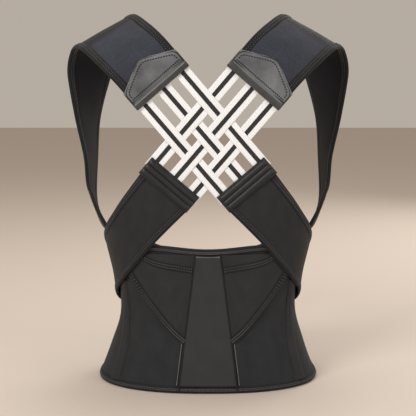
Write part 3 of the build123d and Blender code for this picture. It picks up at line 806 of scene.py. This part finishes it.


def mesh_finish():
    """Knitted spacer mesh: small dark eyes in offset rows on a navy grey ground, turning black in a band over the
    shoulder, partly the strap's black cloth and partly painted shade.
    """
    finish = cloth_finish("strap_mesh", (0.034, 0.037, 0.054), 2.2, contrast=0.3, relief=0.2, sheen=0.08)
    nodes, links = finish.node_tree.nodes, finish.node_tree.links
    eyes = nodes.new("ShaderNodeTexVoronoi")
    preset(eyes, {"Scale": 340, "Randomness": 0.25})
    uv = [node for node in nodes if node.type == "UVMAP"][0]
    links.new(uv.outputs[0], eyes.inputs["Vector"])
    ramp = nodes.new("ShaderNodeValToRGB")
    ramp.color_ramp.elements[0].position = 0.12
    ramp.color_ramp.elements[0].color = (0.35, 0.35, 0.4, 1)
    ramp.color_ramp.elements[1].position = 0.42
    links.new(eyes.outputs["Distance"], ramp.inputs[0])
    shader = nodes["Principled BSDF"]
    ground = shader.inputs["Base Color"].links[0].from_socket
    mix = nodes.new("ShaderNodeMix")
    mix.data_type = "RGBA"
    mix.blend_type = "MULTIPLY"
    mix.inputs[0].default_value = 0.8
    links.new(ground, mix.inputs[6])
    links.new(ramp.outputs[0], mix.inputs[7])
    where = nodes.new("ShaderNodeTexCoord")
    split = nodes.new("ShaderNodeSeparateXYZ")
    links.new(where.outputs["Object"], split.inputs[0])
    off_ridge = maths("ABSOLUTE", maths("SUBTRACT", split.outputs[1], ridge_y))
    fade = nodes.new("ShaderNodeMapRange")
    preset(fade, {"From Min": ridge_half - 0.007, "From Max": ridge_half + 0.007})
    links.new(off_ridge, fade.inputs[0])
    # painted shade and black cloth: the mesh fades to black over the shoulder, where the strap is partly black
    # cloth and partly in shade
    black_and_shade_band = nodes.new("ShaderNodeMix")
    black_and_shade_band.data_type = "RGBA"
    black_and_shade_band.inputs[6].default_value = (0.008, 0.008, 0.009, 1)
    links.new(fade.outputs[0], black_and_shade_band.inputs[0])
    links.new(mix.outputs[2], black_and_shade_band.inputs[7])
    links.new(black_and_shade_band.outputs[2], shader.inputs["Base Color"])
    return finish


strap_mesh = mesh_finish()
strap_lining = cloth_finish("strap_lining", (0.006, 0.006, 0.009), 1.4, contrast=0.3, relief=0.25, sheen=0.02)


def lined(piece, lining, is_inner):
    """Gives the faces for which is_inner holds the lining instead of the outer cloth."""
    piece.data.materials.append(lining)
    for polygon in piece.data.polygons:
        if is_inner(polygon):
            polygon.material_index = 1


along_loop = 170  # steps along a loop
for side, name in ((1, "right"), (-1, "left")):
    middle = loop_surface(side, shoulder_edge - 1, 1 - shoulder_edge, crown=1.1)
    pad = cloth_strip(middle, f"shoulder_pad_{name}", along_loop, 16, 3.2)
    edges = []
    for low, high in ((0.0, shoulder_edge), (-shoulder_edge, 0.0)):
        edges.append(cloth_strip(loop_surface(side, low, high), f"edge_{low}", along_loop, 4, 4.8))
    binding = joined(edges, f"shoulder_binding_{name}")
    inner_rows = loop_rows("inner_rows", side, 0.0, shoulder_edge)
    outer_rows = loop_rows("outer_rows", side, -shoulder_edge, 0.0)
    rows = joined([inner_rows, outer_rows], f"shoulder_stitches_{name}")
    for piece, slot_name, finish, nodes in (
        (pad, "strap_mesh", strap_mesh, ("shoulder_pad", "underarm_strap")),
        (binding, "binding_tape", binding_tape, ("shoulder_binding", "underarm_binding")),
        (rows, "binding_tape", thread, ()),
    ):
        piece.data.materials.append(finish)
        if nodes:
            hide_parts(*[f"{node}_{name}" for node in nodes])
        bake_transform(piece)
    centres = [loop_place(even_share(i / 60))[:2] for i in range(61)]

    def faces_the_body(polygon, side=side, centres=centres):
        """Whether a face of the pad looks towards the wearer."""
        spot = polygon.center * 1000
        spot.x *= side
        normal = Vector((polygon.normal.x * side, polygon.normal.y, polygon.normal.z))
        nearest = min(centres, key=lambda pair: (pair[0] - spot).length_squared)
        return normal.dot(nearest[1]) < -0.2

    lined(pad, strap_lining, faces_the_body)


# ---------------------------------------------------------------- upper tabs
# A pentagon of smooth grey leather, folded over a core, clamps the elastics' ends and the shoulder strap. A
# roll of leather closes its foot, and lockstitches run along the roll and inside the other edges.
tab_side, tab_peak = 27, 50


def tab_point(u, v, side=1, lift=5.0, margin=0.0):
    """A point of the tab's face: u runs up it and v across it."""
    across = (2 * v - 1) * (tab_width / 2 - margin)
    slope = (tab_peak - tab_side) / (tab_width / 2)
    rounded = (across**2 + 36) ** 0.5 - 4
    top = tab_peak - slope * rounded - margin
    place = arm_point(lattice_rise + margin * 0.3 + (top - margin * 0.3) * u, across, -lift)
    return Vector((side * place.x, place.y, place.z))


def leather_finish(name, colour, dark):
    """Smooth leather: fine pebble grain, a soft sheen and darker, worn patches."""
    finish, nodes, links, shader = new_material(name, colour, 0.36)
    preset(shader, {"Coat Weight": 0.25, "Coat Roughness": 0.3})
    where = nodes.new("ShaderNodeTexCoord")
    grain = nodes.new("ShaderNodeTexVoronoi")
    grain.feature = "DISTANCE_TO_EDGE"
    preset(grain, {"Scale": 900})
    links.new(where.outputs["Object"], grain.inputs["Vector"])
    cloud = nodes.new("ShaderNodeTexNoise")
    preset(cloud, {"Scale": 30, "Detail": 6})
    links.new(where.outputs["Object"], cloud.inputs["Vector"])
    ramp = nodes.new("ShaderNodeValToRGB")
    ramp.color_ramp.elements[0].position = 0.3
    ramp.color_ramp.elements[0].color = (*dark, 1)
    ramp.color_ramp.elements[1].position = 0.72
    ramp.color_ramp.elements[1].color = (*colour, 1)
    links.new(cloud.outputs[0], ramp.inputs[0])
    links.new(ramp.outputs[0], shader.inputs["Base Color"])
    wear = nodes.new("ShaderNodeMapRange")
    preset(wear, {"To Min": 0.3, "To Max": 0.5})
    links.new(cloud.outputs[0], wear.inputs[0])
    links.new(wear.outputs[0], shader.inputs["Roughness"])
    bump = nodes.new("ShaderNodeBump")
    preset(bump, {"Strength": 0.35, "Distance": 0.0004})
    links.new(grain.outputs["Distance"], bump.inputs["Height"])
    links.new(bump.outputs[0], shader.inputs["Normal"])
    return finish


tab_leather = leather_finish("grey_leather", (0.170, 0.178, 0.193), (0.060, 0.064, 0.071))
roll_leather = leather_finish("roll_leather", (0.060, 0.062, 0.066), (0.030, 0.031, 0.033))
edge_leather = leather_finish("black_leather", (0.026, 0.026, 0.028), (0.014, 0.014, 0.015))


def tab_outline(side, margin, lift, low=0.0):
    """The line round the tab's sides and peak, a margin inside its edge."""
    half = tab_width / 2 - margin
    corners = [
        (low, half),
        (tab_side - margin * 0.5 - 3, half),
        (tab_side - margin * 0.5 + 1.5, half - 3.2),
        (tab_peak - margin - 3.5, 7),
        (tab_peak - margin - 1.6, 0),
    ]
    path = corners + [(up, -across) for up, across in reversed(corners[:-1])]
    lengths = [0]
    for (a, b), (c, d) in zip(path, path[1:]):
        lengths.append(lengths[-1] + ((c - a) ** 2 + (d - b) ** 2) ** 0.5)

    def point(share):
        target = min(max(share, 0), 1) * lengths[-1]
        i = max(k for k in range(len(path) - 1) if lengths[k] <= target)
        part = (target - lengths[i]) / (lengths[i + 1] - lengths[i])
        up = path[i][0] + (path[i + 1][0] - path[i][0]) * part
        across = path[i][1] + (path[i + 1][1] - path[i][1]) * part
        place = arm_point(lattice_rise + up, across, -lift)
        return Vector((side * place.x, place.y, place.z))

    return point, lengths[-1]


def flat_frame(line):
    """Place, normal and sideways direction along a line on the lattice's plane."""

    def point(u):
        run = (line(min(u + 0.004, 1)) - line(max(u - 0.004, 0))).normalized()
        return line(u), Vector((0, -1, 0)), Vector((0, -1, 0)).cross(run)

    return point


def rod(line, name, steps, radius, flat=1.0, around=10):
    """A round or flattened roll along a line on the lattice's plane."""

    def surface(u, v):
        place, normal, sideways = flat_frame(line)(u)
        turn = pi * (v - 0.5)
        return place + sideways * radius * sin(turn), normal, sideways, u, v, radius * flat * cos(turn)

    return cloth_strip(surface, name, steps, around, 0.1)


for side, name in ((1, "right"), (-1, "left")):

    def face(u, v, side=side):
        return tab_point(u, v, side, lift=3.2)

    def puff(u, v):
        return 1.5 * (max(0, sin(pi * min(max(v, 0.0), 1))) ** 0.35) * (1 - (2 * u - 1) ** 6)

    tab_name, body = f"upper_tab_{name}", f"{name}_shoulder"
    tab = draped(face, tab_name, 50, 90, (40, 40), 3, swell=puff)
    finished(tab, body, "tab_leather", tab_leather, tab_name)
    outline, outline_length = tab_outline(side, 0.6, 3.4)
    rim = rod(outline, f"upper_tab_rim_{name}", 90, 1.9)
    finished(rim, body, "tab_leather", edge_leather)

    def foot(share, side=side, up=5.0, lift=1.6, inset=0.0):
        place = arm_point(lattice_rise + up, (2 * share - 1) * (tab_width / 2 + 0.4 - inset), -lift)
        return Vector((side * place.x, place.y, place.z))

    roll = rod(foot, f"upper_tab_roll_{name}", 60, 5.6, flat=0.95, around=14)
    finished(roll, body, "tab_leather", roll_leather)
    lip = rod(lambda s, foot=foot: foot(s, up=11.6, lift=4.4, inset=1), f"upper_tab_lip_{name}", 60, 1.5)
    finished(lip, body, "tab_leather", edge_leather)
    inner, inner_length = tab_outline(side, 4.6, 5.75, low=17)
    foot_line = flat_frame(lambda s, foot=foot: foot(s, up=14.4, lift=5.75, inset=3))
    edge_row = stitch_row("edge_row", flat_frame(inner), int(inner_length / 3.6), 2.9, thickness=1.7)
    foot_row = stitch_row("foot_row", foot_line, 26, 2.8, thickness=1.9)
    rows = joined([edge_row, foot_row], f"upper_tab_stitches_{name}")
    finished(rows, body, "tab_leather", dark_thread)

# ---------------------------------------------------------------- lower casings
# A casing of ribbed tape, folded and sewn in three ridges, takes the ends of the elastics and of the lower strap.
casing_width, casing_length = 85, 23.5


def casing_point(u, v, side=1, lift=0.0):
    """A point of a casing: u runs across the arm and v down it."""
    down = lattice_drop + casing_length * v
    across = (u - 0.5) * casing_width
    return Vector(
        (
            side * (run_x * down + run_z * across),
            lattice_plane - lift,
            lattice_height - run_z * down + run_x * across,
        )
    )


casing_colour = (0.0175, 0.018, 0.0195)
casing_cloth = cloth_finish("casing_tape", casing_colour, 1.0, contrast=0.3, relief=0.25, roughness=0.4)
for side, name in ((1, "right"), (-1, "left")):

    def middle(u, v, side=side):
        return casing_point(u, v, side, lift=1.0)

    def ridges(u, v):
        taper = min(1, 14 * u, 14 * (1 - u)) ** 0.5
        return (0.5 + 2.3 * abs(sin(pi * 3 * v)) ** 0.7) * taper - 0.3

    casing_name = f"lower_casing_{name}"
    casing = draped(middle, casing_name, casing_width, casing_length, (60, 36), 5.4, swell=ridges)
    finished(casing, "back", "casing_cloth", casing_cloth, casing_name)
    lines = []
    for share in (0.02, 0.335, 0.665, 0.98):

        def seam_line(s, share=share, side=side):
            return casing_point(0.03 + 0.94 * s, share, side, lift=4.7)

        lines.append(stitch_row(f"row_{share}", flat_frame(seam_line), 34, 1.9, thickness=0.9))
    rows = joined(lines, f"lower_casing_stitches_{name}")
    finished(rows, "back", "casing_cloth", dark_thread)

# ---------------------------------------------------------------- lower straps and pull straps
# A wide elastic strap runs from each casing round the wearer's side to the front, where it narrows to a tab
# with a hook pad. Its edges are bound. It is listed here as turns and heights of its two edges.
strap_upper = [(40.2, 319.7), (46.5, 298), (53, 277), (61.5, 252.5), (71, 233), (80, 218), (90, 205)]
strap_upper += [(107.6, 181), (124, 155), (138, 132), (153, 121)]
strap_lower = [(13.4, 266.9), (28.2, 238.5), (42, 210), (56.9, 176), (69.4, 150), (80, 134), (90, 121)]
strap_lower += [(107.6, 101), (124, 84), (138, 75), (153, 71)]
strap_lift = 5.4
front_step = {1: 4.9, -1: -2.1}  # how far the strap steps off the form in front, over each wing
seam_share = 0.625  # of the strap's length, where its back run ends and the pull strap starts
tab_share = 0.813  # where the hook tab starts


def strap_point(side, lift, low=0.0, high=1.0, start=0.0, end=1.0):
    """The strap between two shares of its width and two shares of its length."""

    def point(u, v):
        share = start + (end - start) * u
        upper_turn, upper_height = smooth_line(strap_upper, share)
        lower_turn, lower_height = smooth_line(strap_lower, share)
        across = low + (high - low) * v
        turn = lower_turn + (upper_turn - lower_turn) * across
        height = lower_height + (upper_height - lower_height) * across
        ahead = max(0.0, -cos(radians(turn)))
        step = front_step[side] * min(1, ahead * 3)
        return on_form(side * turn, height, lift, step)

    return point


elastic_colour, hook_colour = (0.0175, 0.0185, 0.0205), (0.016, 0.016, 0.017)
strap_elastic = cloth_finish("strap_elastic", elastic_colour, 1.5, contrast=0.3, relief=0.3, roughness=0.8)
hook_tape = cloth_finish("hook_tape", hook_colour, 1.4, contrast=0.4, relief=0.8, roughness=0.5, sheen=0)
edge_share = 0.105  # of the strap's width, under each binding
rim_width = 8.5


def strap_run(name, side, start, end, length, body, nodes, width=84):
    """One run of the strap: its cloth, its two bindings and their stitches."""
    steps = max(20, int(length / 2.6))
    cloth = draped(strap_point(side, strap_lift, 0.09, 0.91, start, end), name, length, width, (steps, 24), 3)
    rims, rows = [], []
    for index, (low, high) in enumerate(((0.0, edge_share), (1 - edge_share, 1.0))):
        middle = strap_point(side, strap_lift, low, high, start, end)
        outer = strap_point(side, strap_lift + 2.05, low, high, start, end)
        rims.append(draped(middle, f"rim_{index}", length, rim_width, (steps, 4), 4.2))
        rows.append(zigzag_rows(f"rows_{index}", outer, rim_width, length, rows=2, thickness=0.8))
    binding = joined(rims, name + "_binding")
    stitches = joined(rows, name + "_stitches")
    finished(cloth, body, "strap_elastic", strap_elastic, *nodes[:1])
    finished(binding, body, "binding_tape", binding_tape, *nodes[1:])
    finished(stitches, body, "binding_tape", thread)
    return cloth, binding, stitches


def bent(pieces):
    """Takes finished pieces off their bodies and bakes their place into their meshes."""
    for piece in pieces:
        piece.parent = None
        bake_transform(piece)


for side, name, wing in ((1, "right", "outer_wing"), (-1, "left", "inner_wing")):
    nodes = (f"lower_strap_{name}", f"lower_strap_binding_{name}")
    strap_run(f"lower_strap_{name}", side, 0, seam_share, 300, "back", nodes)
    pull_name, pull_start = f"pull_strap_{name}", seam_share - 0.004
    pull = strap_run(pull_name, side, pull_start, tab_share, 130, "back", (pull_name,), 66)
    bent(pull)
    tab_body, hook_name = f"{name}_pull_tab", f"pull_tab_hook_{name}"
    hook_tab = strap_run(f"pull_tab_{name}", side, tab_share, 1.0, 85, tab_body, (f"pull_tab_{name}",), 56)
    hook_middle = strap_point(side, strap_lift - 2.3, 0.1, 0.9, tab_share + 0.02, 0.985)
    hook = draped(hook_middle, hook_name, 66, 44, (30, 20), 1.2)
    finished(hook, tab_body, "hook_plastic", hook_tape, hook_name)
    bent((*hook_tab, hook))

# ---------------------------------------------------------------- front wings
# The belt's two wings wrap round to the front and lap over each other. A patch of loop pile on the inner wing
# and a patch of hooks inside the outer wing close the belt.
wing_reach = 201.5  # the turn that each wing's end reaches, past the middle of the front
wing_step = {1: 7, -1: 0}  # the outer wing lies over the inner one


def wing_top(turn):
    """Height of a wing's top edge at a turn, falling from the flank to the front."""
    share = min(max((turn - side_turn) / (180 - side_turn), 0), 1)
    return belt_top(side_turn) + (150 - belt_top(side_turn)) * (share * share * (3 - 2 * share))


def wing_point(side, lift, low_margin=0.0, high_margin=0.0, end_margin=0.0):
    """The wing's wall between its edges, less a margin on each."""

    def point(u, v):
        turn = side_turn - 0.3 + (wing_reach - end_margin / 1.9 - side_turn) * u
        top = wing_top(turn) - high_margin
        height = low_margin + (top - low_margin) * v
        ahead = max(0.0, -cos(radians(turn)))
        return on_form(side * turn, height, lift, wing_step[side] * min(1, ahead * 2.5))

    return point


def wing_band(side, lift, u_from, u_run, v_from, v_run, turned=False):
    """A band of the wing's wall. turned makes it run up the wall instead of along it."""
    wall = wing_point(side, lift)

    def point(u, v):
        if turned:
            u, v = v, u
        return wall(u_from + u_run * u, v_from + v_run * v)

    return point


pile_colour = (0.022, 0.022, 0.023)
loop_pile = cloth_finish("loop_pile", pile_colour, 1.8, contrast=0.6, relief=1.0, roughness=0.95, sheen=0.5)
wing_length, end_length = 300, 150
high_edge, end_edge = (0.944, 0.052), (0.963, 0.037)  # where each binding starts on the wall, and its run
for side, name in ((1, "outer"), (-1, "inner")):
    wall = draped(wing_point(side, -2, 5, 5, 5), f"{name}_wing", 290, 160, (90, 36), wall_thickness)
    rims = []
    for rim, band, length, steps in (
        ("low", wing_band(side, -2, 0, 1, 0.022, 0.034), wing_length, 90),
        ("high", wing_band(side, -2, 0, 1, *high_edge), wing_length, 90),
        ("end", wing_band(side, -2, *end_edge, 0.004, 0.99, turned=True), end_length, 50),
    ):
        rims.append(draped(band, f"{rim}_rim", length, tape_height, (steps, 5), tape_thickness))
    binding = joined(rims, f"{name}_wing_binding")
    rows = []
    for rim, band, length in (
        ("low", wing_band(side, 1.15, 0, 1, 0.004, 0.052), wing_length),
        ("high", wing_band(side, 1.15, 0, 1, *high_edge), wing_length),
        ("end", wing_band(side, 1.15, *end_edge, 0, 1, turned=True), end_length),
    ):
        rows.append(zigzag_rows(f"{rim}_rows", band, tape_height, length, 2, 0.8))
    rows = joined(rows, f"{name}_wing_stitches")
    body = f"{name}_wing"
    finished(wall, body, "belt_cloth", belt_cloth, f"{name}_wing")
    finished(binding, body, "binding_tape", binding_tape, f"{name}_wing_binding")
    finished(rows, body, "binding_tape", thread)
    bent((wall, binding, rows))


def patch_point(side, lift, reach=13.5):
    """A rectangle on the middle of the front."""

    def point(u, v):
        return on_form(side * (180 - reach + 2 * reach * u), 14 + 122 * v, lift, wing_step[side])

    return point


loop_patch = draped(patch_point(-1, 0.6), "loop_patch", 56, 122, (30, 50), 0.9)
finished(loop_patch, "inner_wing", "loop_pile", loop_pile, "loop_patch")
hook_patch = draped(patch_point(1, -4.6), "hook_patch", 56, 122, (30, 50), 0.9)
finished(hook_patch, "outer_wing", "hook_plastic", hook_tape, "hook_patch")
